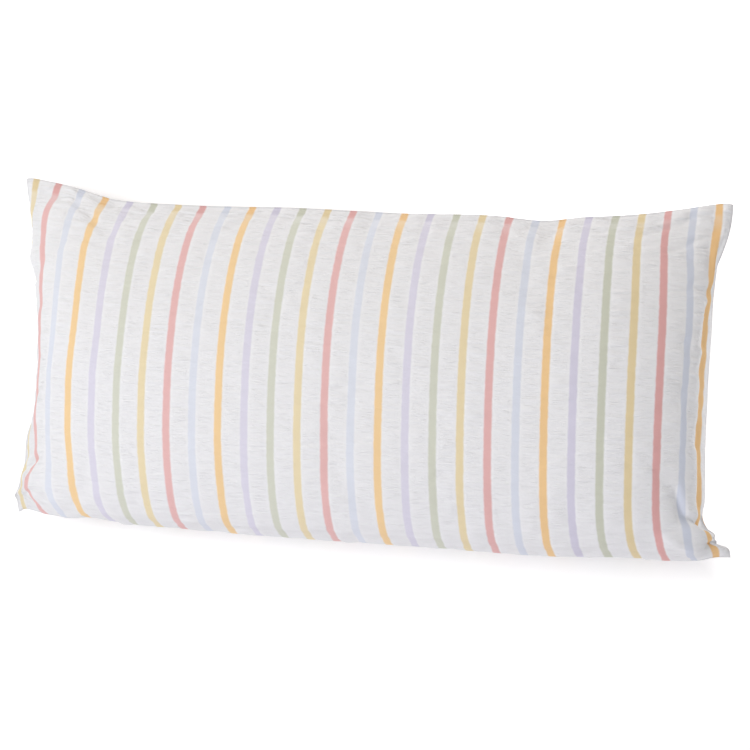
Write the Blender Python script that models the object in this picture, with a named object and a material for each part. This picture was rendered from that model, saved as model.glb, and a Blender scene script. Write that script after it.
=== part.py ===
"""Striped seersucker pillowcase on its cushion, lying on its back.

Metres, +Z up, +X along the length, +Y towards the upper long edge.
The whole thing is one closed filled solid: two sewn panels that bulge
between a flat sewn edge, with drawn-in sides and pulled-out corners.
"""
from collections import namedtuple
import math

import bmesh
import bpy
import numpy as np

# Cloth as cut and sewn
CASE_LENGTH = 0.800
CASE_WIDTH = 0.400
SEAM_FLAT = 0.004
SEAM_THICKNESS = 0.003
SEAM_TURN = 0.006

# Filling
CROWN_HEIGHT = 0.089
BACK_CROWN_SHARE = 0.80
SEAM_LEVEL = 0.052
FLOOR_BLEND = 0.008
LEFT_RISE_LENGTH = 0.110
LEFT_FULLNESS = 0.46
RIGHT_RISE_LENGTH = 0.150
RIGHT_FULLNESS = 0.47
UPPER_FULLNESS = 0.86
LOWER_FULLNESS = 0.57
LOWER_WEIGHT = 0.11
SEAM_SOFTNESS = 0.004
STEEPEST_GRADE = 0.98

# Slack lower part of the left end
LOWER_LEFT_REACH = 0.068
LOWER_LEFT_SHARPNESS = 2.5
LOWER_LEFT_START = 0.045
LOWER_LEFT_SPAN = 0.125

# How far a change at one sewn edge reaches into the panel
LONG_EDGE_REACH_POWER = 2
SHORT_EDGE_REACH_POWER = 8

# Lattice of the solid and of the finer lattice its shape is worked out on
COLUMNS = 66
ROWS = 34
EDGE_CROWDING = 0.86
FINE_COLUMNS = 241
FINE_ROWS = 161
SETTLING_PASSES = 3

MM = 0.001

# Sewn edges: place along the edge from -1 to 1, outward or sideways shift
EdgeShift = namedtuple("EdgeShift", "place shift_mm")
UPPER_EDGE = (
    EdgeShift(-1.00, 22), EdgeShift(-0.85, 28), EdgeShift(-0.70, 19), EdgeShift(-0.50, 14),
    EdgeShift(-0.20, 11), EdgeShift(0.10, 5), EdgeShift(0.36, 2), EdgeShift(0.48, -3),
    EdgeShift(0.60, 1), EdgeShift(0.80, -1), EdgeShift(1.00, -10),
)
LOWER_EDGE = (
    EdgeShift(-1.00, 1), EdgeShift(-0.88, 16), EdgeShift(-0.78, 14), EdgeShift(-0.65, 4),
    EdgeShift(-0.50, -1), EdgeShift(-0.20, -8), EdgeShift(0.20, -13), EdgeShift(0.60, -17),
    EdgeShift(0.80, -12), EdgeShift(0.92, -9), EdgeShift(1.00, -15),
)
LEFT_EDGE = (
    EdgeShift(-1.00, 8), EdgeShift(-0.75, 0), EdgeShift(-0.40, -14), EdgeShift(-0.15, -8),
    EdgeShift(0.15, 13), EdgeShift(0.40, 7), EdgeShift(0.72, 0), EdgeShift(0.88, 2),
    EdgeShift(1.00, -2),
)
RIGHT_EDGE = (
    EdgeShift(-1.00, 10), EdgeShift(-0.70, -5), EdgeShift(-0.40, -4), EdgeShift(0.00, -2),
    EdgeShift(0.30, -3), EdgeShift(0.50, -8), EdgeShift(0.75, -11), EdgeShift(1.00, -9),
)

# Spots where the cloth is drawn aside: cloth place, reach, move
Pull = namedtuple("Pull", "along_mm across_mm reach_mm right_mm up_mm out_mm")
PULLS = (
    Pull(400, -200, 36, -10, 33, 0),
    Pull(-400, -200, 42, -6, 38, 0),
    Pull(397, -132, 14, -7, 0, -2),
    Pull(400, -178, 9, -8, 0, 0),
    Pull(368, -148, 18, 4, 0, 0),
    Pull(-390, -124, 14, -6, 0, 0),
    Pull(-346, -158, 45, -7, 0, 0),
    Pull(-364, -10, 30, 4, 0, 0),
    Pull(-400, 142, 26, 6, 0, 0),
    Pull(-364, 164, 20, -4, 0, 0),
)

# Main creases: cloth place, heading of the crease, half length and width, height
Crease = namedtuple("Crease", "along_mm across_mm heading_deg half_length_mm half_width_mm height_mm")
FRONT_CREASES = (
    Crease(358, -128, -58, 18, 8, -6),
    Crease(382, -143, -8, 18, 8, -6),
    Crease(350, -166, -30, 18, 9, 4),
    Crease(387, -170, 42, 14, 8, -4),
    Crease(388, 100, 8, 20, 8, -2),
    Crease(-366, -118, 14, 24, 8, -4),
    Crease(-362, -138, 18, 18, 8, 3),
    Crease(-360, -162, 24, 18, 8, -3),
    Crease(-380, 110, -20, 16, 9, 3),
    Crease(328, 174, 24, 30, 7, -2),
    Crease(360, 154, 30, 26, 7, -2),
    Crease(205, 170, 82, 26, 9, -3),
    Crease(-310, 166, -36, 34, 8, -2),
    Crease(-255, 160, -48, 30, 8, -2),
    Crease(-170, 40, 8, 130, 60, 2),
    Crease(60, -40, -12, 140, 55, -2),
    Crease(250, 60, 16, 90, 50, 2),
)
BACK_CREASES = (
    Crease(352, -126, -40, 30, 10, -5),
    Crease(355, 128, 36, 30, 10, -5),
    Crease(-352, 126, -38, 30, 10, -5),
    Crease(-354, -130, 42, 30, 10, -5),
)

COTTON_COLOUR = (0.84, 0.84, 0.86, 1.0)
COTTON_ROUGHNESS = 0.92


def clear_scene():
    """Take away whatever the scene opens with."""
    for item in list(bpy.data.objects):
        bpy.data.objects.remove(item, do_unlink=True)


def cotton_material():
    """White cotton with a dull surface."""
    material = bpy.data.materials.new("seersucker_cotton")
    material.use_nodes = True
    shader = material.node_tree.nodes["Principled BSDF"]
    shader.inputs["Base Color"].default_value = COTTON_COLOUR
    shader.inputs["Roughness"].default_value = COTTON_ROUGHNESS
    shader.inputs["Metallic"].default_value = 0.0
    return material


def edge_curve(places, table):
    """Smooth curve through a table of edge shifts, in metres."""
    knots = np.array([row.place for row in table])
    values = np.array([row.shift_mm for row in table]) * MM
    grades = np.gradient(values, knots)
    last = len(knots) - 2
    span = np.clip(np.searchsorted(knots, places) - 1, 0, last)
    width = knots[span + 1] - knots[span]
    t = (places - knots[span]) / width
    start = (2 * t**3 - 3 * t**2 + 1) * values[span]
    start_grade = (t**3 - 2 * t**2 + t) * width * grades[span]
    end = (3 * t**2 - 2 * t**3) * values[span + 1]
    end_grade = (t**3 - t**2) * width * grades[span + 1]
    return start + start_grade + end + end_grade


def past_seam(distance):
    """Distance from the sewn edge, counted from where the bulge starts."""
    beyond = (distance - SEAM_FLAT) / SEAM_SOFTNESS
    return SEAM_SOFTNESS * np.logaddexp(0, beyond)


def ease(values):
    """Smooth step of values between 0 and 1."""
    t = np.clip(values, 0, 1)
    return t * t * (3 - 2 * t)


def end_rise(distance, rise_length, fullness):
    """Height share near a short side, from 0 at the edge to 1."""
    t = np.clip(past_seam(distance) / rise_length, 0, 1)
    return (1 - (1 - t) ** 2) ** fullness


def slow_rise(distance, reach, sharpness):
    """Height share near a slack end, its grade halved at the reach."""
    steps = np.linspace(0, CASE_LENGTH / 2, FINE_COLUMNS)
    grade = 1 / (1 + (steps / reach) ** sharpness)
    rise = np.concatenate([[0], np.cumsum((grade[1:] + grade[:-1]) / 2)])
    return np.interp(past_seam(distance), steps, rise / rise[-1])


def left_rise(along, across):
    """Height share at the left end: full above, slack below."""
    distance = along + CASE_LENGTH / 2
    full = end_rise(distance, LEFT_RISE_LENGTH, LEFT_FULLNESS)[:, None]
    slack = slow_rise(distance, LOWER_LEFT_REACH, LOWER_LEFT_SHARPNESS)[:, None]
    lower = ease((LOWER_LEFT_START - across) / LOWER_LEFT_SPAN)[None, :]
    return full * (1 - lower) + slack * lower


def bulge(along, across):
    """Height of the filled panel above its sewn edge, on a lattice."""
    half_length = CASE_LENGTH / 2
    half_width = CASE_WIDTH / 2
    right = end_rise(half_length - along, RIGHT_RISE_LENGTH, RIGHT_FULLNESS)[:, None]
    lengthways = left_rise(along, across) * right
    share = past_seam(half_width - np.abs(across)) / (half_width - SEAM_FLAT)
    offset = 1 - np.clip(share, 0, 1)
    fullness = np.where(across > 0, UPPER_FULLNESS, LOWER_FULLNESS)
    crossways = (1 - offset**2) ** fullness * (1 - LOWER_WEIGHT * across / half_width)
    return CROWN_HEIGHT * lengthways * crossways[None, :]


def run_of_thread(step, across_step, rise_step, axis):
    """Lay threads of fixed length over the slopes, measured from the middle."""
    level = 1 - rise_step**2 - across_step**2
    grade = np.sqrt(np.clip(level, 1 - STEEPEST_GRADE**2, 1))
    grade = np.moveaxis(grade, axis, 0)
    middle = (grade[1:] + grade[:-1]) / 2 * step
    run = np.vstack([np.zeros((1, grade.shape[1])), np.cumsum(middle, axis=0)])
    run = run - run[len(run) // 2]
    return np.moveaxis(run, 0, axis)


def lay_cloth(along, across, height):
    """Plan position of every cloth point, drawn in by the slopes."""
    along_step = along[1] - along[0]
    across_step = across[1] - across[0]
    x = np.repeat(along[:, None], len(across), axis=1)
    y = np.zeros_like(height)
    rise_along = np.gradient(height, along_step, axis=0)
    rise_across = np.gradient(height, across_step, axis=1)
    for _ in range(SETTLING_PASSES):
        sideways = np.gradient(y, along_step, axis=0)
        x = run_of_thread(along_step, sideways, rise_along, 0)
        sideways = np.gradient(x, across_step, axis=1)
        y = run_of_thread(across_step, sideways, rise_across, 1)
    return x, y


def shift_edges(along, across, x, y):
    """Move the sewn edges by their tables, fading into the panel."""
    a = along / (CASE_LENGTH / 2)
    b = across / (CASE_WIDTH / 2)
    upper = ((1 + b) / 2) ** LONG_EDGE_REACH_POWER
    lower = ((1 - b) / 2) ** LONG_EDGE_REACH_POWER
    left = ((1 - a) / 2) ** SHORT_EDGE_REACH_POWER
    right = ((1 + a) / 2) ** SHORT_EDGE_REACH_POWER
    y = y + edge_curve(a, UPPER_EDGE)[:, None] * upper[None, :]
    y = y + edge_curve(a, LOWER_EDGE)[:, None] * lower[None, :]
    x = x + edge_curve(b, LEFT_EDGE)[None, :] * left[:, None]
    x = x + edge_curve(b, RIGHT_EDGE)[None, :] * right[:, None]
    return x, y


def pull_cloth(along, across, points):
    """Draw the cloth aside around each listed spot."""
    for pull in PULLS:
        du = along[:, None] - pull.along_mm * MM
        dv = across[None, :] - pull.across_mm * MM
        share = np.exp(-(du**2 + dv**2) / (pull.reach_mm * MM) ** 2)
        move = np.array([pull.right_mm, pull.up_mm, pull.out_mm]) * MM
        points = points + share[:, :, None] * move
    return points


def crease_height(along, across, creases):
    """Sum of the soft troughs and ridges on a panel."""
    total = np.zeros((len(along), len(across)))
    for crease in creases:
        du = along[:, None] - crease.along_mm * MM
        dv = across[None, :] - crease.across_mm * MM
        turn = math.radians(crease.heading_deg)
        forward = du * math.cos(turn) + dv * math.sin(turn)
        aside = dv * math.cos(turn) - du * math.sin(turn)
        length_share = np.exp(-(forward / (crease.half_length_mm * MM)) ** 4)
        width_share = np.exp(-(aside / (crease.half_width_mm * MM)) ** 2)
        total = total + crease.height_mm * MM * length_share * width_share
    return total


def edge_fade(along, across, width):
    """Share that is 0 on the sewn edge and 1 from a width inside it."""
    from_end = CASE_LENGTH / 2 - np.abs(along)
    from_side = CASE_WIDTH / 2 - np.abs(across)
    end_share = np.clip(from_end / width, 0, 1)
    side_share = np.clip(from_side / width, 0, 1)
    return end_share[:, None] * side_share[None, :]


def outward_normals(points):
    """Unit normals of a lattice, on the bulging side."""
    lengthways = np.gradient(points, axis=0)
    crossways = np.gradient(points, axis=1)
    normals = np.cross(lengthways, crossways)
    return normals / np.linalg.norm(normals, axis=2, keepdims=True)


def press_on_floor(level):
    """Flatten what would reach below the floor, with a soft turn."""
    sunk = level <= -FLOOR_BLEND
    clear = level >= FLOOR_BLEND
    turn = (level + FLOOR_BLEND) ** 2 / (4 * FLOOR_BLEND)
    return np.where(sunk, 0.0, np.where(clear, level, turn))


def fine_panels():
    """Front and back panels on the fine lattice."""
    along = np.linspace(-CASE_LENGTH / 2, CASE_LENGTH / 2, FINE_COLUMNS)
    across = np.linspace(-CASE_WIDTH / 2, CASE_WIDTH / 2, FINE_ROWS)
    height = bulge(along, across)
    x, y = lay_cloth(along, across, height)
    x, y = shift_edges(along, across, x, y)
    height = height * ease(edge_fade(along, across, SEAM_TURN))
    fade = edge_fade(along, across, SEAM_FLAT)

    front = pull_cloth(along, across, np.stack([x, y, height], axis=2))
    folds = crease_height(along, across, FRONT_CREASES) * fade
    front = front + outward_normals(front) * folds[:, :, None]
    front[:, :, 2] += SEAM_LEVEL + SEAM_THICKNESS / 2

    back = pull_cloth(along, across, np.stack([x, y, np.zeros_like(x)], axis=2))
    depth = height * BACK_CROWN_SHARE + crease_height(along, across, BACK_CREASES) * fade
    edge_move = back[:, :, 2]
    back[:, :, 2] = press_on_floor(SEAM_LEVEL + edge_move - SEAM_THICKNESS / 2 - depth)
    return along, across, front, back


def crowded(count, half):
    """Lattice lines from -half to half, closer together near both ends."""
    even = np.linspace(-1, 1, count)
    bent = np.sin(even * math.pi / 2 * EDGE_CROWDING) / math.sin(math.pi / 2 * EDGE_CROWDING)
    return bent * half


def sample(lines, fine_lines, values):
    """Read a fine lattice at chosen lines along its first axis."""
    place = np.interp(lines, fine_lines, np.arange(len(fine_lines)))
    low = np.clip(np.floor(place).astype(int), 0, len(fine_lines) - 2)
    part = (place - low)[:, None, None]
    return values[low] * (1 - part) + values[low + 1] * part


def coarse_panel(along, across, panel):
    """One panel on the lattice of the solid."""
    columns = crowded(COLUMNS, CASE_LENGTH / 2)
    rows = crowded(ROWS, CASE_WIDTH / 2)
    by_column = sample(columns, along, panel)
    by_row = sample(rows, across, np.swapaxes(by_column, 0, 1))
    return np.swapaxes(by_row, 0, 1)


def flat_slab():
    """Two joined grids, one above the other, that become the two panels."""
    mesh = bmesh.new()
    bmesh.ops.create_grid(mesh, x_segments=COLUMNS - 1, y_segments=ROWS - 1, size=1.0)
    lower = list(mesh.verts)
    raised = bmesh.ops.extrude_face_region(mesh, geom=list(mesh.faces))
    upper = [item for item in raised["geom"] if isinstance(item, bmesh.types.BMVert)]
    return mesh, lower, upper


def place_vertices(vertices, panel):
    """Move grid points onto a panel by their place in the lattice."""
    for vertex in vertices:
        column = round((vertex.co.x + 1) / 2 * (COLUMNS - 1))
        row = round((vertex.co.y + 1) / 2 * (ROWS - 1))
        vertex.co = panel[column, row]


def centre_on_origin(mesh):
    """Put the middle of the outline over the origin."""
    places = np.array([vertex.co for vertex in mesh.verts])
    middle = (places.min(axis=0) + places.max(axis=0)) / 2
    for vertex in mesh.verts:
        vertex.co.x -= middle[0]
        vertex.co.y -= middle[1]


def build_pillowcase(collection):
    """The filled case as one closed solid."""
    along, across, front, back = fine_panels()
    mesh, lower, upper = flat_slab()
    place_vertices(lower, coarse_panel(along, across, back))
    place_vertices(upper, coarse_panel(along, across, front))
    centre_on_origin(mesh)
    bmesh.ops.triangulate(mesh, faces=list(mesh.faces))
    bmesh.ops.recalc_face_normals(mesh, faces=list(mesh.faces))
    data = bpy.data.meshes.new("pillowcase")
    mesh.to_mesh(data)
    mesh.free()
    data.materials.append(cotton_material())
    item = bpy.data.objects.new("pillowcase", data)
    collection.objects.link(item)
    return item


def main():
    clear_scene()
    collection = bpy.data.collections.new("seersucker_pillowcase")
    bpy.context.scene.collection.children.link(collection)
    build_pillowcase(collection)


main()
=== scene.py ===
"""The look of the striped seersucker pillowcase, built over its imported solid.

Metres, in the solid's frame: it lies on its back, +X along the length,
+Y towards the upper long edge, +Z out of the face.
"""
from collections import namedtuple
import math

import bmesh
import bpy
from mathutils import Matrix, Vector
import numpy as np


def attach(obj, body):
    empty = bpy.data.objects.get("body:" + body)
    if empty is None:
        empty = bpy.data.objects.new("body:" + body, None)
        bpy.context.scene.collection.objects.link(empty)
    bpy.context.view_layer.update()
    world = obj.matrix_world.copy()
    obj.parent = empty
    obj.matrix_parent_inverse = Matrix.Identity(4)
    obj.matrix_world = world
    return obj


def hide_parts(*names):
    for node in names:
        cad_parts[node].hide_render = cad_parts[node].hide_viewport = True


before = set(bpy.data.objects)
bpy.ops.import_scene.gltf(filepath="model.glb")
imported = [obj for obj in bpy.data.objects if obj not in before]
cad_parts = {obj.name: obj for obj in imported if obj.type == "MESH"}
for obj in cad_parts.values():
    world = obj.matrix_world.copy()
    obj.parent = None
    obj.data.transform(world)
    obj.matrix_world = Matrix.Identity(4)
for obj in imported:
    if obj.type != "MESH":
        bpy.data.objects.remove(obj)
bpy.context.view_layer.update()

MM = 0.001

# Cloth as cut, woven and sewn, and how tightly it is filled
CASE_LENGTH = 0.800
CASE_WIDTH = 0.400
STRIPE_COUNT = 28
STRIPE_PITCH = 0.0286
STRIPE_WIDTH = 0.0080
FIRST_STRIPE_INSET = 0.0125
SEAM_FLAT = 0.004
SEAM_THICKNESS = 0.0018
SEAM_TURN = 0.006
SEAM_ALLOWANCE = 0.014
ALLOWANCE_RISE = 0.0007
ALLOWANCE_SLOPE = 0.004

# Filling
CROWN_HEIGHT = 0.089
BACK_CROWN_SHARE = 0.80
SEAM_LEVEL = 0.0526
FLOOR_BLEND = 0.008
LEFT_RISE_LENGTH = 0.110
LEFT_FULLNESS = 0.46
LOWER_LEFT_REACH = 0.068
LOWER_LEFT_SHARPNESS = 2.5
LOWER_LEFT_START = 0.045
LOWER_LEFT_SPAN = 0.125
RIGHT_RISE_LENGTH = 0.150
RIGHT_FULLNESS = 0.47
UPPER_FULLNESS = 0.86
LOWER_FULLNESS = 0.57
LOWER_WEIGHT = 0.11
SEAM_SOFTNESS = 0.004
STEEPEST_GRADE = 0.98
LONG_EDGE_REACH_POWER = 2
TUCK_REACH = 0.011
LAST_STRIPE_STRETCH = 0.45
LAST_STRIPE_REACH = 0.007
LEFT_EDGE_REACH_POWER = 8
RIGHT_EDGE_REACH_POWER = 8
FINE_COLUMNS = 401
FINE_ROWS = 241
SETTLING_PASSES = 3

# Lattice of the cloth: columns follow the stripes, rows are even
COLUMN_OFFSETS_MM = (-4.2, 4.2, 8.0, 14.3, 20.6)
END_OFFSETS_MM = (-4.2, -2.0, 0.0, 2.0, 4.2, 6.0, 8.0, 11.0, 14.3, 17.5, 20.6, 22.5)
END_STRIPES = 2
EDGE_LINES_MM = (0.0, 0.8, 2.0, 3.6, 5.6)
ROWS = 449
BACK_ROW_STEP = 5

# Sewn edges: place along the edge from -1 to 1, shift
EdgeShift = namedtuple("EdgeShift", "place shift_mm")
UPPER_EDGE = (
    EdgeShift(-1.00, 22), EdgeShift(-0.85, 28), EdgeShift(-0.70, 19), EdgeShift(-0.50, 14),
    EdgeShift(-0.20, 11), EdgeShift(0.10, 5), EdgeShift(0.36, 2), EdgeShift(0.48, -3),
    EdgeShift(0.60, 1), EdgeShift(0.80, -1), EdgeShift(1.00, -10),
)
LOWER_EDGE = (
    EdgeShift(-1.00, 1), EdgeShift(-0.88, 16), EdgeShift(-0.78, 14), EdgeShift(-0.65, 4),
    EdgeShift(-0.50, -1), EdgeShift(-0.20, -8), EdgeShift(0.20, -13), EdgeShift(0.60, -17),
    EdgeShift(0.80, -12), EdgeShift(0.92, -9), EdgeShift(1.00, -15),
)
LEFT_EDGE = (
    EdgeShift(-1.00, 9), EdgeShift(-0.92, 7), EdgeShift(-0.80, -3), EdgeShift(-0.60, -8),
    EdgeShift(-0.40, -18), EdgeShift(-0.15, -8),
    EdgeShift(0.15, 13), EdgeShift(0.40, 8), EdgeShift(0.72, -4), EdgeShift(0.88, -1),
    EdgeShift(1.00, -2),
)
RIGHT_EDGE = (
    EdgeShift(-1.00, 10), EdgeShift(-0.70, -6), EdgeShift(-0.40, -5), EdgeShift(0.00, -2),
    EdgeShift(0.30, -2), EdgeShift(0.50, -5), EdgeShift(0.75, -11), EdgeShift(1.00, -9),
)

# How far the left sewn edge itself is turned back under the cloth
LEFT_TUCK = (
    EdgeShift(-1.00, 6), EdgeShift(-0.85, 4), EdgeShift(-0.60, 6), EdgeShift(-0.25, 5),
    EdgeShift(-0.05, 0), EdgeShift(0.40, 1), EdgeShift(0.65, 4), EdgeShift(0.85, 3),
    EdgeShift(1.00, 0),
)

# The same at the right sewn edge
RIGHT_TUCK = (
    EdgeShift(-1.00, 0), EdgeShift(0.15, 0), EdgeShift(0.32, -2), EdgeShift(0.50, -6),
    EdgeShift(0.62, -5), EdgeShift(0.78, -1), EdgeShift(1.00, 0),
)

# Spots where the cloth is drawn aside: cloth place, reach, move
Pull = namedtuple("Pull", "along_mm across_mm reach_mm right_mm up_mm out_mm")
PULLS = (
    Pull(400, -200, 36, -10, 33, 0),
    Pull(-400, -200, 42, -4, 38, 0),
    Pull(397, -132, 14, -7, 0, -2),
    Pull(400, -173, 10, -7, 0, 0),
    Pull(368, -148, 18, 4, 0, 0),
    Pull(-390, -124, 14, -6, 0, 0),
    Pull(-346, -158, 45, -7, 0, 0),
    Pull(-364, -10, 30, 4, 0, 0),
    Pull(-400, 142, 26, 6, 0, 0),
    Pull(-364, 164, 20, -4, 0, 0),
    Pull(-356, -154, 16, -6, 0, 0),
    Pull(-362, -92, 22, 4, 0, 0),
    Pull(400, -146, 7, 6, 0, 0),
    Pull(-400, -200, 22, 0, -2, 0),
    Pull(-345, -200, 14, 0, 2, 0),
)

# Main creases: cloth place, heading, half length and width, height
Crease = namedtuple("Crease", "along_mm across_mm heading_deg half_length_mm half_width_mm height_mm")
FRONT_CREASES = (
    Crease(352, -118, -75, 18, 5, -5),
    Crease(379, -138, -6, 24, 5, -7),
    Crease(350, -166, -30, 18, 9, 4),
    Crease(387, -170, 42, 14, 6, -5),
    Crease(388, 100, 8, 20, 7, -2),
    Crease(-366, -118, 14, 24, 6, -4),
    Crease(-362, -138, 18, 18, 8, 3),
    Crease(-360, -162, 24, 18, 6, -3),
    Crease(-380, 110, -20, 16, 9, 3),
    Crease(328, 174, 24, 30, 5, -2),
    Crease(360, 154, 30, 26, 5, -2),
    Crease(205, 170, 82, 26, 8, -3),
    Crease(-310, 166, -36, 34, 7, -2),
    Crease(-255, 160, -48, 30, 7, -2),
    Crease(-170, 40, 8, 130, 60, 2),
    Crease(60, -40, -12, 140, 55, -2),
    Crease(250, 60, 16, 90, 50, 2),
)
BACK_CREASES = (
    Crease(384, -148, 90, 26, 12, -12),
    Crease(352, -126, -40, 30, 10, -5),
    Crease(355, 128, 36, 30, 10, -5),
    Crease(-352, 126, -38, 30, 10, -5),
    Crease(-354, -130, 42, 30, 10, -5),
)

# Settling of the filled cloth under its own pressure
SETTLE_COLUMNS = 121
SETTLE_ROWS = 61
SETTLE_FRAMES = 20
SETTLE_PRESSURE = 4.0
SETTLE_SLACK = 0.015
SETTLE_MASS = 0.15
SETTLE_BENDING = 0.05
SETTLE_STEPS = 6
BROAD_PASSES = 30
FOLD_CAP = 0.003

# Puckers of the slack white warps: size across and along the cloth, height
Pucker = namedtuple("Pucker", "across_mm along_mm height_mm seed")
PUCKERS = (
    Pucker(2.6, 26.0, 0.80, 11),
    Pucker(5.0, 34.0, 1.10, 12),
    Pucker(12.0, 50.0, 0.80, 13),
)
PUCKER_MIDDLE = 0.33
PUCKER_DRIFT = 0.8
GATHER_SHARE = 2.6
GATHER_DEPTH = 0.030
PUCKER_START = 0.0044
PUCKER_FULL = 0.0080
BAND_OFFSET = 7.37
NOISE_CELLS = 256
NOISE_ORIGIN = 120

# Fine texture of the cloth; the weave is at its real size and shows only close up
THREAD_PITCH = 0.0006
THREAD_RELIEF = 0.00012
THREAD_STRENGTH = 0.6
CRINKLE_ACROSS = 0.0024
CRINKLE_ALONG = 0.016
CRINKLE_RELIEF = 0.0020
CRINKLE_DISTORTION = 0.3
STREAK_WIDTH = 0.0009
STREAK_LENGTH = 0.030
STREAK_SHADE = 0.04
CLOUD_SIZE = 0.035
CLOUD_SHADE = 0.02
STRIPE_SOFTNESS = 0.0011
STRIPE_WOBBLE = 0.0012
WOBBLE_LENGTH = 0.006
PALE_EDGE = 0.003
PALE_DEPTH = 0.024
PALE_SHARE = 0.18
# Stripes deepen where the seam allowance lies double under the cloth, and as painted shade towards the
# right end, where the cloth turns from the light
DOUBLE_LAYER_AND_RIGHT_SHADE_SHARE = 0.35
RIGHT_PAINTED_SHADE_START = 0.05
RIGHT_PAINTED_SHADE_FULL = 0.33
# Painted shade: a thin darker line along the sewn edge
PAINTED_EDGE_SHADE_WIDTH = 0.0012
PAINTED_EDGE_SHADE = 0.12

# Colours of the yarns, and the dark tint mixed in for yarn streaks and for painted shade along the sewn
# edge
WHITE_YARN = "#e9e9eb"
YARN_STREAK_AND_PAINTED_EDGE_TINT = "#6a6872"
STRIPE_YARNS = ("#e6d7b2", "#e3b7b5", "#dadee8", "#efce9c", "#d8d5e3", "#d1d3c5")

# Finish of dry cotton
COTTON_ROUGHNESS = 0.92
COTTON_SPECULAR = 0.25
COTTON_SHEEN = 0.1
COTTON_SHEEN_ROUGHNESS = 0.6

# Camera: turned from the face's normal, distance and lens
CAMERA_AZIMUTH = 0.2442
CAMERA_ELEVATION = -0.080
CAMERA_ROLL = 0.0394
CAMERA_DISTANCE = 2.1036
CAMERA_RIGHT = 0.01466
CAMERA_UP = 0.00203
LENS_MM = 94.25
SENSOR_MM = 36.0

# Soft square studio lights, aimed at the origin, and the pale surround
Light = namedtuple("Light", "name place watts tint")
LIGHTS = (
    Light("key", (-1.15, 0.15, 2.2), 32.0, "#ffffff"),
    Light("upper_fill", (0.5, 2.2, 1.0), 6.3, "#ffe2c8"),
    Light("lower_fill", (0, -2.2, 1.0), 9.5, "#f8f0ff"),
)
LIGHT_SIZE = 1.2
SURROUND_WHITE = "#ffffff"
SURROUND = 0.56
FLOOR_SIZE = 12.0
FLOOR_PAINT = "#fafafa"
FLOOR_ROUGHNESS = 0.9
# The floor glows faintly all over; the stronger glow beyond the right edge is painted light that fills
# the key's shadow
GLOW_WHITE = "#ffffff"
FLOOR_GLOW = 0.12
RIGHT_GLOW = 0.55
RIGHT_GLOW_START = 0.160
RIGHT_GLOW_FULL = 0.205
RIGHT_GLOW_TILT = 1.0


def edge_curve(places, table):
    """Smooth curve through a table of edge shifts, in metres."""
    knots = np.array([row.place for row in table])
    values = np.array([row.shift_mm for row in table]) * MM
    grades = np.gradient(values, knots)
    last = len(knots) - 2
    span = np.clip(np.searchsorted(knots, places) - 1, 0, last)
    width = knots[span + 1] - knots[span]
    t = (places - knots[span]) / width
    start = (2 * t**3 - 3 * t**2 + 1) * values[span]
    start_grade = (t**3 - 2 * t**2 + t) * width * grades[span]
    end = (3 * t**2 - 2 * t**3) * values[span + 1]
    end_grade = (t**3 - t**2) * width * grades[span + 1]
    return start + start_grade + end + end_grade


def ease(values):
    """Smooth step of values between 0 and 1."""
    t = np.clip(values, 0, 1)
    return t * t * (3 - 2 * t)


def past_seam(distance):
    """Distance from the sewn edge, counted from where the bulge starts."""
    beyond = (distance - SEAM_FLAT) / SEAM_SOFTNESS
    return SEAM_SOFTNESS * np.logaddexp(0, beyond)


def end_rise(distance, rise_length, fullness):
    """Height share near a short side, from 0 at the edge to 1."""
    t = np.clip(past_seam(distance) / rise_length, 0, 1)
    return (1 - (1 - t) ** 2) ** fullness


def slow_rise(distance, reach, sharpness):
    """Height share near a slack end, its grade halved at the reach."""
    steps = np.linspace(0, CASE_LENGTH / 2, FINE_COLUMNS)
    grade = 1 / (1 + (steps / reach) ** sharpness)
    rise = np.concatenate([[0], np.cumsum((grade[1:] + grade[:-1]) / 2)])
    return np.interp(past_seam(distance), steps, rise / rise[-1])


def left_rise(along, across):
    """Height share at the left end: full above, slack below."""
    distance = along + CASE_LENGTH / 2
    full = end_rise(distance, LEFT_RISE_LENGTH, LEFT_FULLNESS)[:, None]
    slack = slow_rise(distance, LOWER_LEFT_REACH, LOWER_LEFT_SHARPNESS)[:, None]
    lower = ease((LOWER_LEFT_START - across) / LOWER_LEFT_SPAN)[None, :]
    return full * (1 - lower) + slack * lower


def bulge(along, across):
    """Height of the filled panel above its sewn edge, on a lattice."""
    half_length = CASE_LENGTH / 2
    half_width = CASE_WIDTH / 2
    right = end_rise(half_length - along, RIGHT_RISE_LENGTH, RIGHT_FULLNESS)[:, None]
    lengthways = left_rise(along, across) * right
    share = past_seam(half_width - np.abs(across)) / (half_width - SEAM_FLAT)
    offset = 1 - np.clip(share, 0, 1)
    fullness = np.where(across > 0, UPPER_FULLNESS, LOWER_FULLNESS)
    crossways = (1 - offset**2) ** fullness * (1 - LOWER_WEIGHT * across / half_width)
    return CROWN_HEIGHT * lengthways * crossways[None, :]


def run_of_thread(step, across_step, rise_step, axis):
    """Lay threads of fixed length over the slopes, measured from the middle."""
    level = 1 - rise_step**2 - across_step**2
    grade = np.sqrt(np.clip(level, 1 - STEEPEST_GRADE**2, 1))
    grade = np.moveaxis(grade, axis, 0)
    middle = (grade[1:] + grade[:-1]) / 2 * step
    run = np.vstack([np.zeros((1, grade.shape[1])), np.cumsum(middle, axis=0)])
    run = run - run[len(run) // 2]
    return np.moveaxis(run, 0, axis)


def lay_cloth(along, across, height):
    """Plan position of every cloth point, drawn in by the slopes."""
    along_step = along[1] - along[0]
    across_step = across[1] - across[0]
    x = np.repeat(along[:, None], len(across), axis=1)
    y = np.zeros_like(height)
    rise_along = np.gradient(height, along_step, axis=0)
    rise_across = np.gradient(height, across_step, axis=1)
    for _ in range(SETTLING_PASSES):
        sideways = np.gradient(y, along_step, axis=0)
        x = run_of_thread(along_step, sideways, rise_along, 0)
        sideways = np.gradient(x, across_step, axis=1)
        y = run_of_thread(across_step, sideways, rise_across, 1)
    return x, y


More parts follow.
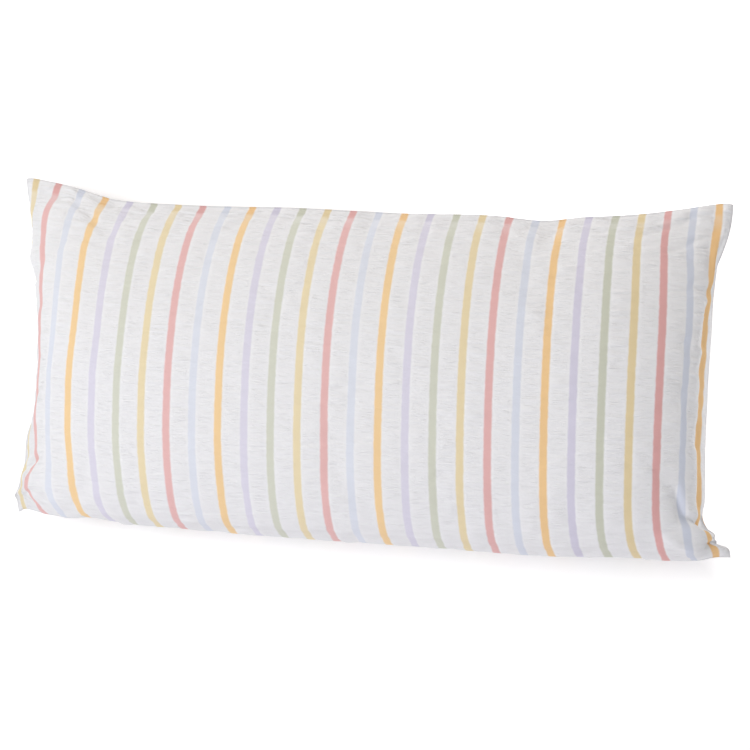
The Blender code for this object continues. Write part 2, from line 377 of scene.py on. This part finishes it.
def shift_edges(along, across, x, y):
    """Move the sewn edges by their tables, fading into the panel."""
    a = along / (CASE_LENGTH / 2)
    b = across / (CASE_WIDTH / 2)
    upper = ((1 + b) / 2) ** LONG_EDGE_REACH_POWER
    lower = ((1 - b) / 2) ** LONG_EDGE_REACH_POWER
    left = ((1 - a) / 2) ** LEFT_EDGE_REACH_POWER
    right = ((1 + a) / 2) ** RIGHT_EDGE_REACH_POWER
    y = y + edge_curve(a, UPPER_EDGE)[:, None] * upper[None, :]
    y = y + edge_curve(a, LOWER_EDGE)[:, None] * lower[None, :]
    x = x + edge_curve(b, LEFT_EDGE)[None, :] * left[:, None]
    x = x + edge_curve(b, RIGHT_EDGE)[None, :] * right[:, None]
    return x, y


def turn_short_edges(along, across, x):
    """Turn the short edges under, and the last stripe up a little more."""
    b = across / (CASE_WIDTH / 2)
    for end, table in ((-CASE_LENGTH / 2, LEFT_TUCK), (CASE_LENGTH / 2, RIGHT_TUCK)):
        tuck = np.exp(-((along - end) / TUCK_REACH) ** 2)
        x = x + edge_curve(b, table)[None, :] * tuck[:, None]
    last_stripe = FIRST_STRIPE_INSET - CASE_LENGTH / 2 + STRIPE_PITCH * (STRIPE_COUNT - 1)
    aside = along - last_stripe
    stretch = LAST_STRIPE_STRETCH * aside * np.exp(-(aside / LAST_STRIPE_REACH) ** 2)
    return x + (1 - b**4)[None, :] * stretch[:, None]


def pull_cloth(along, across, points):
    """Draw the cloth aside around each listed spot."""
    for pull in PULLS:
        du = along[:, None] - pull.along_mm * MM
        dv = across[None, :] - pull.across_mm * MM
        share = np.exp(-(du**2 + dv**2) / (pull.reach_mm * MM) ** 2)
        move = np.array([pull.right_mm, pull.up_mm, pull.out_mm]) * MM
        points = points + share[:, :, None] * move
    return points


def crease_height(along, across, creases):
    """Sum of the soft troughs and ridges on a panel."""
    total = np.zeros((len(along), len(across)))
    for crease in creases:
        du = along[:, None] - crease.along_mm * MM
        dv = across[None, :] - crease.across_mm * MM
        turn = math.radians(crease.heading_deg)
        forward = du * math.cos(turn) + dv * math.sin(turn)
        aside = dv * math.cos(turn) - du * math.sin(turn)
        length_share = np.exp(-(forward / (crease.half_length_mm * MM)) ** 4)
        width_share = np.exp(-(aside / (crease.half_width_mm * MM)) ** 2)
        total = total + crease.height_mm * MM * length_share * width_share
    return total


def edge_fade(along, across, width):
    """Share that is 0 on the sewn edge and 1 from a width inside it."""
    from_end = CASE_LENGTH / 2 - np.abs(along)
    from_side = CASE_WIDTH / 2 - np.abs(across)
    end_share = np.clip(from_end / width, 0, 1)
    side_share = np.clip(from_side / width, 0, 1)
    return end_share[:, None] * side_share[None, :]


def allowance_height(along, across):
    """Slight rise of the cloth over the turned-in seam allowance."""
    from_end = CASE_LENGTH / 2 - np.abs(along)
    from_side = CASE_WIDTH / 2 - np.abs(across)
    inside = np.minimum(from_end[:, None], from_side[None, :])
    return ALLOWANCE_RISE * ease((SEAM_ALLOWANCE - inside) / ALLOWANCE_SLOPE + 0.5)


def outward_normals(points):
    """Unit normals of a lattice, on the bulging side."""
    lengthways = np.gradient(points, axis=0)
    crossways = np.gradient(points, axis=1)
    normals = np.cross(lengthways, crossways)
    size = np.linalg.norm(normals, axis=2, keepdims=True)
    return normals / size


def press_on_floor(level):
    """Flatten what would reach below the floor, with a soft turn."""
    sunk = level <= -FLOOR_BLEND
    clear = level >= FLOOR_BLEND
    turn = (level + FLOOR_BLEND) ** 2 / (4 * FLOOR_BLEND)
    return np.where(sunk, 0.0, np.where(clear, level, turn))


def fine_panels():
    """Front and back panels, before their puckers."""
    along = np.linspace(-CASE_LENGTH / 2, CASE_LENGTH / 2, FINE_COLUMNS)
    across = np.linspace(-CASE_WIDTH / 2, CASE_WIDTH / 2, FINE_ROWS)
    height = bulge(along, across)
    x, y = lay_cloth(along, across, height)
    x, y = shift_edges(along, across, x, y)
    x = turn_short_edges(along, across, x)
    height = height * ease(edge_fade(along, across, SEAM_TURN))
    fade = edge_fade(along, across, SEAM_FLAT)

    front = pull_cloth(along, across, np.stack([x, y, height], axis=2))
    folds = crease_height(along, across, FRONT_CREASES) * fade
    folds = folds + allowance_height(along, across) * fade
    front = front + outward_normals(front) * folds[:, :, None]
    front[:, :, 2] += SEAM_LEVEL + SEAM_THICKNESS / 2

    back = pull_cloth(along, across, np.stack([x, y, np.zeros_like(x)], axis=2))
    depth = height * BACK_CROWN_SHARE + crease_height(along, across, BACK_CREASES) * fade
    edge_move = back[:, :, 2]
    back[:, :, 2] = press_on_floor(SEAM_LEVEL + edge_move - SEAM_THICKNESS / 2 - depth)

    middle = (front[:, :, :2].min(axis=(0, 1)) + front[:, :, :2].max(axis=(0, 1))) / 2
    front[:, :, :2] -= middle
    back[:, :, :2] -= middle
    return along, across, front, back, middle


def with_edge_lines(half, inner):
    """Inner lattice lines between closer ones at the two sewn edges."""
    edge = np.array(EDGE_LINES_MM) * MM
    kept = inner[np.abs(inner) < half - edge[-1] - MM / 2]
    return np.concatenate([edge - half, kept, (half - edge)[::-1]])


def cloth_columns():
    """Lattice columns: a set around every stripe, and the edge lines."""
    first = FIRST_STRIPE_INSET - CASE_LENGTH / 2
    lines = []
    for stripe in range(-1, STRIPE_COUNT):
        at_end = stripe < END_STRIPES or stripe >= STRIPE_COUNT - END_STRIPES
        offsets = END_OFFSETS_MM if at_end else COLUMN_OFFSETS_MM
        lines.extend(first + STRIPE_PITCH * stripe + offset * MM for offset in offsets)
    return with_edge_lines(CASE_LENGTH / 2, np.array(lines))


def cloth_rows():
    """Lattice rows: even, and the edge lines."""
    half = CASE_WIDTH / 2
    return with_edge_lines(half, np.linspace(-half, half, ROWS))


def sample(lines, fine_lines, values):
    """Read a fine lattice at chosen lines along its first axis."""
    place = np.interp(lines, fine_lines, np.arange(len(fine_lines)))
    low = np.clip(np.floor(place).astype(int), 0, len(fine_lines) - 2)
    part = (place - low)[:, None, None]
    before = values[np.maximum(low - 1, 0)]
    after = values[np.minimum(low + 2, len(fine_lines) - 1)]
    first = values[low]
    second = values[low + 1]
    first_grade = (second - before) / 2
    second_grade = (after - first) / 2
    return (
        (2 * part**3 - 3 * part**2 + 1) * first
        + (part**3 - 2 * part**2 + part) * first_grade
        + (3 * part**2 - 2 * part**3) * second
        + (part**3 - part**2) * second_grade
    )


def on_lattice(columns, rows, along, across, panel):
    """One panel read at the lattice of the cloth."""
    by_column = sample(columns, along, panel)
    by_row = sample(rows, across, np.swapaxes(by_column, 0, 1))
    return np.swapaxes(by_row, 0, 1)


def soft_noise(x, y, seed):
    """Smooth random heights from 0 to 1 with cells of size 1."""
    cells = np.random.RandomState(seed).rand(NOISE_CELLS, NOISE_CELLS)
    left = np.floor(x).astype(int)
    low = np.floor(y).astype(int)
    sx = ease(x - left)
    sy = ease(y - low)
    right = (left + 1) % NOISE_CELLS
    high = (low + 1) % NOISE_CELLS
    left = left % NOISE_CELLS
    low = low % NOISE_CELLS
    lower = cells[left, low] * (1 - sx) + cells[right, low] * sx
    upper = cells[left, high] * (1 - sx) + cells[right, high] * sx
    return lower * (1 - sy) + upper * sy


def pucker_height(columns, rows):
    """Creped grooves across the slack white bands, none on the flat stripes."""
    place = (columns + CASE_LENGTH / 2 - FIRST_STRIPE_INSET) / STRIPE_PITCH
    band = np.floor(place)[:, None]
    from_stripe = np.abs(place - np.round(place)) * STRIPE_PITCH
    slack = ease((from_stripe - PUCKER_START) / (PUCKER_FULL - PUCKER_START))
    in_band = (place[:, None] - band) * STRIPE_PITCH
    total = np.zeros((len(columns), len(rows)))
    for pucker in PUCKERS:
        x = in_band / (pucker.along_mm * MM) + band * BAND_OFFSET + NOISE_ORIGIN + total
        y = rows[None, :] / (pucker.across_mm * MM) + NOISE_ORIGIN
        drift = PUCKER_DRIFT * soft_noise(x, y / 2, pucker.seed + len(PUCKERS))
        groove = np.abs(2 * soft_noise(x, y + drift, pucker.seed) - 1)
        total = total + (groove - PUCKER_MIDDLE) * pucker.height_mm * MM
    gather = 1 + GATHER_SHARE * np.exp(-(CASE_WIDTH / 2 - rows) / GATHER_DEPTH)
    return total * slack[:, None] * gather[None, :]


def joined_panels(front, back):
    """Front and back lattices as one closed mesh, with each point's place."""
    mesh = bmesh.new()
    last_column = front.shape[0] - 1
    last_row = front.shape[1] - 1
    bmesh.ops.create_grid(mesh, x_segments=last_column, y_segments=last_row, size=1.0)
    lower = list(mesh.verts)
    raised = bmesh.ops.extrude_face_region(mesh, geom=list(mesh.faces))
    upper = [item for item in raised["geom"] if isinstance(item, bmesh.types.BMVert)]
    place_of = {}
    for vertex in mesh.verts:
        column = round((vertex.co.x + 1) / 2 * last_column)
        place_of[vertex] = (column, round((vertex.co.y + 1) / 2 * last_row))
    for vertex in upper:
        vertex.co = front[place_of[vertex]]
    for vertex in lower:
        vertex.co = back[place_of[vertex]]
    bmesh.ops.recalc_face_normals(mesh, faces=list(mesh.faces))
    return mesh, upper, lower, place_of


def in_order(mesh):
    """The mesh again, its faces in one fixed order, so that it settles the same each run."""
    mesh.verts.index_update()
    rings = []
    for face in mesh.faces:
        ring = [vertex.index for vertex in face.verts]
        first = ring.index(min(ring))
        rings.append(ring[first:] + ring[:first])
    ordered = bmesh.new()
    corners = [ordered.verts.new(vertex.co) for vertex in mesh.verts]
    for ring in sorted(rings):
        ordered.faces.new([corners[number] for number in ring])
    return ordered


def smoothed(field, passes):
    """A lattice of moves with its narrow folds averaged away."""
    for _ in range(passes):
        wide = np.pad(field, ((1, 1), (0, 0), (0, 0)), mode="edge")
        field = (wide[:-2] + 2 * field + wide[2:]) / 4
        wide = np.pad(field, ((0, 0), (1, 1), (0, 0)), mode="edge")
        field = (wide[:, :-2] + 2 * field + wide[:, 2:]) / 4
    return field


def settle(data, held):
    """Run the filled cloth's pressure on a mesh, its held points fixed; gives the places."""
    item = new_object("settling_cloth", data)
    group = item.vertex_groups.new(name="held")
    group.add(held, 1.0, "REPLACE")
    cloth = item.modifiers.new("settling", "CLOTH")
    cloth.settings.vertex_group_mass = group.name
    cloth.settings.mass = SETTLE_MASS
    cloth.settings.quality = SETTLE_STEPS
    cloth.settings.bending_stiffness = SETTLE_BENDING
    cloth.settings.shrink_min = -SETTLE_SLACK
    cloth.settings.use_pressure = True
    cloth.settings.uniform_pressure_force = SETTLE_PRESSURE
    cloth.settings.effector_weights.gravity = 0
    cloth.point_cache.frame_start = 1
    cloth.point_cache.frame_end = SETTLE_FRAMES
    for number in range(1, SETTLE_FRAMES + 1):
        bpy.context.scene.frame_set(number)
    shown = item.evaluated_get(bpy.context.evaluated_depsgraph_get())
    places = np.zeros(len(data.vertices) * 3)
    shown.data.vertices.foreach_get("co", places)
    bpy.data.objects.remove(item)
    bpy.context.scene.frame_set(1)
    return places.reshape(-1, 3)


def settled_folds(along, across, front, back):
    """Folds the cloth takes as it settles, without the broad swell of the crown."""
    columns = np.linspace(-CASE_LENGTH / 2, CASE_LENGTH / 2, SETTLE_COLUMNS)
    rows = np.linspace(-CASE_WIDTH / 2, CASE_WIDTH / 2, SETTLE_ROWS)
    start = on_lattice(columns, rows, along, across, front)
    under = on_lattice(columns, rows, along, across, back)
    mesh, upper, lower, place_of = joined_panels(start, under)
    ordered = in_order(mesh)
    places = {vertex.index: place_of[vertex] for vertex in upper}
    ends = (0, SETTLE_COLUMNS - 1)
    sides = (0, SETTLE_ROWS - 1)
    held = [vertex.index for vertex in lower]
    held.extend(n for n, (column, row) in places.items() if column in ends or row in sides)
    data = bpy.data.meshes.new("settling_cloth")
    ordered.to_mesh(data)
    ordered.free()
    mesh.free()
    settled = settle(data, held)
    moves = np.zeros_like(start)
    for number, place in places.items():
        moves[place] = settled[number] - start[place]
    folds = moves - smoothed(moves, BROAD_PASSES)
    size = np.linalg.norm(folds, axis=2, keepdims=True)
    folds = folds * FOLD_CAP / (FOLD_CAP + size)
    return on_lattice(along, across, columns, rows, folds)


def keep_places(mesh, place_of, columns, rows):
    """Write each corner's place on the cloth into a map for the material."""
    cloth = mesh.loops.layers.uv.new("cloth")
    for face in mesh.faces:
        for loop in face.loops:
            column, row = place_of[loop.vert]
            loop[cloth].uv = (columns[column], rows[row])


def thin_back(mesh, lower, place_of):
    """Take most rows out of the back panel, which has no puckers."""
    on_back = set(lower)
    spare = []
    for edge in mesh.edges:
        first, second = edge.verts
        row = place_of[first][1]
        along_row = row == place_of[second][1]
        if first in on_back and second in on_back and along_row and row % BACK_ROW_STEP:
            spare.append(edge)
    bmesh.ops.dissolve_edges(mesh, edges=spare, use_verts=True)
    bmesh.ops.triangulate(mesh, faces=[face for face in mesh.faces if len(face.verts) > 4])
    bmesh.ops.recalc_face_normals(mesh, faces=list(mesh.faces))


def cloth_mesh():
    """The filled case as one closed mesh; also gives the middle of its outline."""
    along, across, front, back, middle = fine_panels()
    folds = settled_folds(along, across, front, back)
    front = front + folds * edge_fade(along, across, SEAM_FLAT)[:, :, None]
    columns = cloth_columns()
    rows = cloth_rows()
    front = on_lattice(columns, rows, along, across, front)
    back = on_lattice(columns, rows, along, across, back)
    puckers = pucker_height(columns, rows) * edge_fade(columns, rows, SEAM_FLAT)
    front = front + outward_normals(front) * puckers[:, :, None]

    mesh, _, lower, place_of = joined_panels(front, back)
    keep_places(mesh, place_of, columns, rows)
    thin_back(mesh, lower, place_of)
    for face in mesh.faces:
        face.smooth = True
    data = bpy.data.meshes.new("pillowcase_cloth")
    mesh.to_mesh(data)
    mesh.free()
    return data, middle


def linear(colour):
    """Linear colour from an sRGB hex string."""
    channels = [int(colour[i:i + 2], 16) / 255 for i in (1, 3, 5)]
    low = [c / 12.92 if c <= 0.04045 else ((c + 0.055) / 1.055) ** 2.4 for c in channels]
    return (*low, 1.0)


def add_node(tree, kind, inputs, **settings):
    """Add a node; each input is a value or another node's output."""
    node = tree.nodes.new(kind)
    for name, value in settings.items():
        setattr(node, name, value)
    for socket, value in inputs.items():
        if isinstance(value, bpy.types.NodeSocket):
            tree.links.new(value, node.inputs[socket])
        else:
            node.inputs[socket].default_value = value
    return node


def stripe_nodes(tree, along, across):
    """Colour of the nearest stripe, and how far away its slightly wavy middle is."""
    column = add_node(tree, "ShaderNodeMath", {0: along, 1: STRIPE_PITCH}, operation="DIVIDE")
    row = add_node(tree, "ShaderNodeMath", {0: across, 1: WOBBLE_LENGTH}, operation="DIVIDE")
    spot = add_node(tree, "ShaderNodeCombineXYZ", {0: column.outputs[0], 1: row.outputs[0]})
    noise = add_node(tree, "ShaderNodeTexNoise", {"Vector": spot.outputs[0], "Scale": 1.0})
    aside = add_node(
        tree,
        "ShaderNodeMath",
        {0: noise.outputs[0], 1: STRIPE_WOBBLE, 2: along},
        operation="MULTIPLY_ADD",
    )
    first = CASE_LENGTH / 2 - FIRST_STRIPE_INSET - STRIPE_WOBBLE / 2
    inset = add_node(tree, "ShaderNodeMath", {0: aside.outputs[0], 1: first}, operation="ADD")
    place = add_node(tree, "ShaderNodeMath", {0: inset.outputs[0], 1: STRIPE_PITCH}, operation="DIVIDE")
    number = add_node(tree, "ShaderNodeMath", {0: place.outputs[0]}, operation="ROUND")
    offset = add_node(
        tree, "ShaderNodeMath", {0: place.outputs[0], 1: number.outputs[0]}, operation="SUBTRACT"
    )
    apart = add_node(tree, "ShaderNodeMath", {0: offset.outputs[0]}, operation="ABSOLUTE")
    away = add_node(tree, "ShaderNodeMath", {0: apart.outputs[0], 1: STRIPE_PITCH}, operation="MULTIPLY")

    count = len(STRIPE_YARNS)
    turn = add_node(tree, "ShaderNodeMath", {0: number.outputs[0], 1: count}, operation="MODULO")
    middle = add_node(tree, "ShaderNodeMath", {0: turn.outputs[0], 1: 0.5}, operation="ADD")
    share = add_node(tree, "ShaderNodeMath", {0: middle.outputs[0], 1: count}, operation="DIVIDE")
    yarn = add_node(tree, "ShaderNodeValToRGB", {0: share.outputs[0]})
    yarn.color_ramp.interpolation = "CONSTANT"
    stops = yarn.color_ramp.elements
    for index, colour in enumerate(STRIPE_YARNS):
        stop = stops[index] if index < 2 else stops.new(index / count)
        stop.position = index / count
        stop.color = linear(colour)
    return yarn.outputs[0], away.outputs[0]


def depth_nodes(tree, along, across):
    """Shares by which stripes deepen over the doubled upper seam allowance and, as painted shade,
    towards the right end, and pale below the allowance.
    """
    inside = add_node(tree, "ShaderNodeMath", {0: CASE_WIDTH / 2, 1: across}, operation="SUBTRACT")
    depth = inside.outputs[0]
    rise = add_node(
        tree,
        "ShaderNodeMapRange",
        {0: depth, 1: SEAM_ALLOWANCE - PALE_EDGE, 2: SEAM_ALLOWANCE + PALE_EDGE, 3: 0.0, 4: 1.0},
        interpolation_type="SMOOTHSTEP",
    )
    fall = add_node(
        tree,
        "ShaderNodeMapRange",
        {0: depth, 1: SEAM_ALLOWANCE + PALE_EDGE, 2: SEAM_ALLOWANCE + PALE_DEPTH, 3: PALE_SHARE, 4: 0.0},
        interpolation_type="SMOOTHSTEP",
    )
    both = add_node(
        tree, "ShaderNodeMath", {0: rise.outputs[0], 1: fall.outputs[0]}, operation="MULTIPLY"
    )
    deep = add_node(
        tree,
        "ShaderNodeMapRange",
        {0: depth, 1: SEAM_ALLOWANCE - PALE_EDGE, 2: SEAM_ALLOWANCE + PALE_EDGE, 3: DOUBLE_LAYER_AND_RIGHT_SHADE_SHARE, 4: 0.0},
        interpolation_type="SMOOTHSTEP",
    )
    # Painted shade: the stripes deepen towards the right end
    right = add_node(
        tree,
        "ShaderNodeMapRange",
        {0: along, 1: RIGHT_PAINTED_SHADE_START, 2: RIGHT_PAINTED_SHADE_FULL, 3: 0.0, 4: DOUBLE_LAYER_AND_RIGHT_SHADE_SHARE},
    )
    deep_and_right_shade = add_node(
        tree, "ShaderNodeMath", {0: deep.outputs[0], 1: right.outputs[0]}, operation="MAXIMUM"
    )
    return deep_and_right_shade.outputs[0], both.outputs[0]


def relief_nodes(tree, along, across, slack):
    """Bump of the plain weave and of the fine crinkles in the white bands."""
    thread = 2 * math.pi / THREAD_PITCH
    waves = []
    for axis in (along, across):
        angle = add_node(tree, "ShaderNodeMath", {0: axis, 1: thread}, operation="MULTIPLY")
        wave = add_node(tree, "ShaderNodeMath", {0: angle.outputs[0]}, operation="SINE")
        waves.append(wave.outputs[0])
    weave = add_node(tree, "ShaderNodeMath", {0: waves[0], 1: waves[1]}, operation="MULTIPLY")
    woven = add_node(
        tree,
        "ShaderNodeBump",
        {"Height": weave.outputs[0], "Distance": THREAD_RELIEF, "Strength": THREAD_STRENGTH},
    )

    stretched_x = add_node(tree, "ShaderNodeMath", {0: along, 1: CRINKLE_ALONG}, operation="DIVIDE")
    stretched_y = add_node(tree, "ShaderNodeMath", {0: across, 1: CRINKLE_ACROSS}, operation="DIVIDE")
    place = add_node(
        tree, "ShaderNodeCombineXYZ", {0: stretched_x.outputs[0], 1: stretched_y.outputs[0]}
    )
    noise = add_node(
        tree,
        "ShaderNodeTexNoise",
        {"Vector": place.outputs[0], "Scale": 1.0, "Distortion": CRINKLE_DISTORTION},
    )
    centred = add_node(tree, "ShaderNodeMath", {0: noise.outputs[0], 1: 0.5}, operation="SUBTRACT")
    groove = add_node(tree, "ShaderNodeMath", {0: centred.outputs[0]}, operation="ABSOLUTE")
    held = add_node(tree, "ShaderNodeMath", {0: groove.outputs[0], 1: slack}, operation="MULTIPLY")
    crinkled = add_node(
        tree,
        "ShaderNodeBump",
        {"Height": held.outputs[0], "Distance": CRINKLE_RELIEF, "Normal": woven.outputs[0]},
    )
    return crinkled.outputs[0]


def shade_nodes(tree, along, across):
    """Share of darkening: streaky yarn, faint clouds and painted shade along the sewn edge."""
    shades = []
    sizes = ((STREAK_WIDTH, STREAK_LENGTH, STREAK_SHADE), (CLOUD_SIZE, CLOUD_SIZE, CLOUD_SHADE))
    for width, length, shade in sizes:
        x = add_node(tree, "ShaderNodeMath", {0: along, 1: width}, operation="DIVIDE")
        y = add_node(tree, "ShaderNodeMath", {0: across, 1: length}, operation="DIVIDE")
        place = add_node(tree, "ShaderNodeCombineXYZ", {0: x.outputs[0], 1: y.outputs[0]})
        noise = add_node(tree, "ShaderNodeTexNoise", {"Vector": place.outputs[0], "Scale": 1.0})
        part = add_node(tree, "ShaderNodeMath", {0: noise.outputs[0], 1: shade}, operation="MULTIPLY")
        shades.append(part.outputs[0])

    depths = []
    for axis, half in ((along, CASE_LENGTH / 2), (across, CASE_WIDTH / 2)):
        size = add_node(tree, "ShaderNodeMath", {0: axis}, operation="ABSOLUTE")
        depth = add_node(tree, "ShaderNodeMath", {0: half, 1: size.outputs[0]}, operation="SUBTRACT")
        depths.append(depth.outputs[0])
    nearest = add_node(tree, "ShaderNodeMath", {0: depths[0], 1: depths[1]}, operation="MINIMUM")
    # Painted shade along the sewn edge, darkest on the edge and gone within twice its width
    painted_edge = add_node(
        tree,
        "ShaderNodeMapRange",
        {0: nearest.outputs[0], 1: PAINTED_EDGE_SHADE_WIDTH, 2: 2 * PAINTED_EDGE_SHADE_WIDTH, 3: PAINTED_EDGE_SHADE, 4: 0.0},
    )
    yarns = add_node(tree, "ShaderNodeMath", {0: shades[0], 1: shades[1]}, operation="ADD")
    total = add_node(tree, "ShaderNodeMath", {0: yarns.outputs[0], 1: painted_edge.outputs[0]}, operation="ADD")
    return total.outputs[0]


def colour_nodes(tree, along, across, yarn, away):
    """Colour of the cloth: stripe over white, then streaks, clouds and painted shade along the sewn
    edge.
    """
    half = STRIPE_WIDTH / 2
    white = linear(WHITE_YARN)
    stripe = add_node(
        tree,
        "ShaderNodeMapRange",
        {0: away, 1: half - STRIPE_SOFTNESS, 2: half + STRIPE_SOFTNESS, 3: 1.0, 4: 0.0},
        interpolation_type="SMOOTHSTEP",
    )
    deep, pale = depth_nodes(tree, along, across)
    # Stripe colour deepened by its own colour: over the doubled seam allowance, and as painted shade
    # towards the right end
    deepened_and_shaded = add_node(
        tree, "ShaderNodeMix", {0: deep, 6: yarn, 7: yarn}, data_type="RGBA", blend_type="MULTIPLY"
    )
    paler = add_node(
        tree, "ShaderNodeMix", {0: pale, 6: deepened_and_shaded.outputs[2], 7: white}, data_type="RGBA"
    )
    striped = add_node(
        tree, "ShaderNodeMix", {0: stripe.outputs[0], 6: white, 7: paler.outputs[2]}, data_type="RGBA"
    )
    shaded = add_node(
        tree,
        "ShaderNodeMix",
        {0: shade_nodes(tree, along, across), 6: striped.outputs[2], 7: linear(YARN_STREAK_AND_PAINTED_EDGE_TINT)},
        data_type="RGBA",
    )
    return shaded.outputs[2]


def striped_seersucker():
    """Cotton woven of dyed yarns, its white bands left slack."""
    # Gives the eye dry matt cloth, soft-edged stripes that lie flat, and crinkled white; painted shade
    # darkens the sewn edge and the stripes at the right end
    material = bpy.data.materials.new("seersucker_cotton_yarn_dyed")
    material.use_nodes = True
    tree = material.node_tree
    shader = tree.nodes["Principled BSDF"]
    cloth = add_node(tree, "ShaderNodeUVMap", {}, uv_map="cloth")
    parts = add_node(tree, "ShaderNodeSeparateXYZ", {0: cloth.outputs[0]})
    along = parts.outputs[0]
    across = parts.outputs[1]
    yarn, away = stripe_nodes(tree, along, across)
    slack = add_node(
        tree,
        "ShaderNodeMapRange",
        {0: away, 1: PUCKER_START, 2: PUCKER_FULL, 3: 0.0, 4: 1.0},
        interpolation_type="SMOOTHSTEP",
    )
    colour = colour_nodes(tree, along, across, yarn, away)
    tree.links.new(colour, shader.inputs["Base Color"])
    relief = relief_nodes(tree, along, across, slack.outputs[0])
    tree.links.new(relief, shader.inputs["Normal"])
    shader.inputs["Roughness"].default_value = COTTON_ROUGHNESS
    shader.inputs["Specular IOR Level"].default_value = COTTON_SPECULAR
    shader.inputs["Sheen Weight"].default_value = COTTON_SHEEN
    shader.inputs["Sheen Roughness"].default_value = COTTON_SHEEN_ROUGHNESS
    return material


def new_object(name, data):
    """Object in the scene for a mesh, light or camera."""
    item = bpy.data.objects.new(name, data)
    bpy.context.scene.collection.objects.link(item)
    return item


def pillowcase():
    """The filled case as seen, standing for its solid; gives the middle of its outline."""
    data, middle = cloth_mesh()
    data.materials.append(striped_seersucker())
    item = new_object("pillowcase_cloth", data)
    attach(item, "root")
    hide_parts("pillowcase")
    return middle


def glowing_floor_paint():
    """Matt white paint with a faint even glow; beyond the right edge a stronger glow, painted light."""
    # Gives the eye an even white ground; the stronger glow is painted light that fills the key's shadow
    # there
    material = bpy.data.materials.new("floor_paint_and_painted_glow")
    material.use_nodes = True
    tree = material.node_tree
    shader = tree.nodes["Principled BSDF"]
    shader.inputs["Base Color"].default_value = linear(FLOOR_PAINT)
    shader.inputs["Roughness"].default_value = FLOOR_ROUGHNESS
    shader.inputs["Emission Color"].default_value = linear(GLOW_WHITE)
    spot = add_node(tree, "ShaderNodeTexCoord", {})
    parts = add_node(tree, "ShaderNodeSeparateXYZ", {0: spot.outputs["Object"]})
    tilt = add_node(
        tree,
        "ShaderNodeMath",
        {0: parts.outputs[1], 1: RIGHT_GLOW_TILT, 2: parts.outputs[0]},
        operation="MULTIPLY_ADD",
    )
    glow = add_node(
        tree,
        "ShaderNodeMapRange",
        {0: tilt.outputs[0], 1: RIGHT_GLOW_START, 2: RIGHT_GLOW_FULL, 3: FLOOR_GLOW, 4: RIGHT_GLOW},
    )
    tree.links.new(glow.outputs[0], shader.inputs["Emission Strength"])
    return material


def floor():
    """Pale surface that the pillowcase lies on."""
    mesh = bmesh.new()
    bmesh.ops.create_grid(mesh, x_segments=1, y_segments=1, size=FLOOR_SIZE / 2)
    data = bpy.data.meshes.new("pale_floor")
    mesh.to_mesh(data)
    mesh.free()
    data.materials.append(glowing_floor_paint())
    new_object("pale_floor", data)


def camera(middle):
    """Camera at the photo's angle to the face, aimed at the middle of the cloth."""
    azimuth = CAMERA_AZIMUTH
    elevation = CAMERA_ELEVATION
    back = Vector((
        math.sin(azimuth) * math.cos(elevation),
        math.sin(elevation),
        math.cos(azimuth) * math.cos(elevation),
    ))
    level = Vector((0, 1, 0)).cross(back).normalized()
    upright = back.cross(level)
    right = level * math.cos(CAMERA_ROLL) + upright * math.sin(CAMERA_ROLL)
    up = upright * math.cos(CAMERA_ROLL) - level * math.sin(CAMERA_ROLL)
    target = Vector((-middle[0], -middle[1], SEAM_LEVEL + SEAM_THICKNESS / 2))
    place = target + right * CAMERA_RIGHT + up * CAMERA_UP + back * CAMERA_DISTANCE
    data = bpy.data.cameras.new("camera")
    data.lens = LENS_MM
    data.sensor_width = SENSOR_MM
    item = new_object("camera", data)
    item.matrix_world = Matrix.Translation(place) @ Matrix((right, up, back)).transposed().to_4x4()
    bpy.context.scene.camera = item


def lights():
    """A large soft key, two weak fills and a pale surround."""
    for light in LIGHTS:
        data = bpy.data.lights.new(light.name, "AREA")
        data.size = LIGHT_SIZE
        data.energy = light.watts
        data.color = linear(light.tint)[:3]
        item = new_object(light.name, data)
        item.location = light.place
        item.rotation_euler = (-Vector(light.place)).to_track_quat("-Z", "Y").to_euler()
    world = bpy.data.worlds.new("surround")
    bpy.context.scene.world = world
    world.use_nodes = True
    background = world.node_tree.nodes["Background"]
    background.inputs["Color"].default_value = linear(SURROUND_WHITE)
    background.inputs["Strength"].default_value = SURROUND


middle = pillowcase()
camera(middle)
floor()
lights()
bpy.context.scene.view_settings.view_transform = "Standard"
